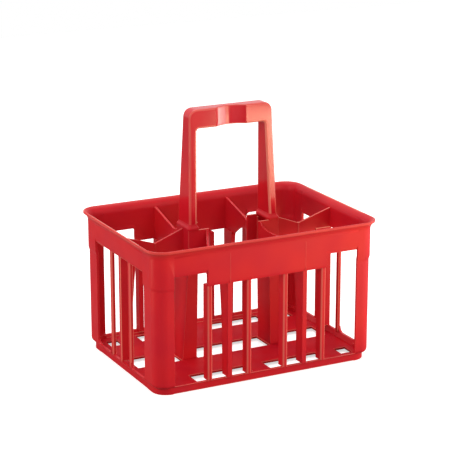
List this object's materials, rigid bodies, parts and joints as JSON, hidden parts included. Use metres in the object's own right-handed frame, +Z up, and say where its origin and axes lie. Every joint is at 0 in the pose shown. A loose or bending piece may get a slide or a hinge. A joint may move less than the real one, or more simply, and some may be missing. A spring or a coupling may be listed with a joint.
{
  "type": "bottle carrier",
  "caption": "Open-sided rectangular moulded basket with dividers for upright bottles and a central clip-in bow handle.",
  "frame": {"origin": "middle of the underside of the foot ring, on the surface the carrier stands on", "axes": "+Z up; +X along the long side, to the right as seen from the front; +Y from the front to the back. The hollow in the grip faces the front, -Y."},
  "size_m": [0.3, 0.218, 0.3095],
  "materials": {
    "basket_plastic": "injection-moulded red polypropylene, self-coloured, semi-gloss from the mould",
    "handle_plastic": "injection-moulded red polypropylene, self-coloured, a polished-mould gloss"
  },
  "bodies": {
    "root": {"base_rail_front": "basket_plastic", "base_rail_back": "basket_plastic", "base_rail_left": "basket_plastic", "base_rail_right": "basket_plastic", "floor_front": "basket_plastic", "floor_back": "basket_plastic", "floor_end_tie_left": "basket_plastic", "floor_end_tie_right": "basket_plastic", "floor_pillar_tie_left": "basket_plastic", "floor_pillar_tie_right": "basket_plastic", "corner_post_front_left": "basket_plastic", "corner_post_front_right": "basket_plastic", "corner_post_back_left": "basket_plastic", "corner_post_back_right": "basket_plastic", "wall_band_front": "basket_plastic", "wall_band_back": "basket_plastic", "wall_band_left": "basket_plastic", "wall_band_right": "basket_plastic", "bars_front_left": "basket_plastic", "bars_front_right": "basket_plastic", "bars_back_left": "basket_plastic", "bars_back_right": "basket_plastic", "bars_end_left": "basket_plastic", "bars_end_right": "basket_plastic", "end_divider_left": "basket_plastic", "end_divider_right": "basket_plastic", "cross_divider_front_left": "basket_plastic", "cross_divider_front_right": "basket_plastic", "cross_divider_back_left": "basket_plastic", "cross_divider_back_right": "basket_plastic", "handle_socket_left": "basket_plastic", "handle_socket_right": "basket_plastic", "socket_pillar_left": "basket_plastic", "socket_pillar_right": "basket_plastic", "handle_grip": "handle_plastic", "handle_leg_left": "handle_plastic", "handle_leg_right": "handle_plastic"}
  },
  "joints": []
}
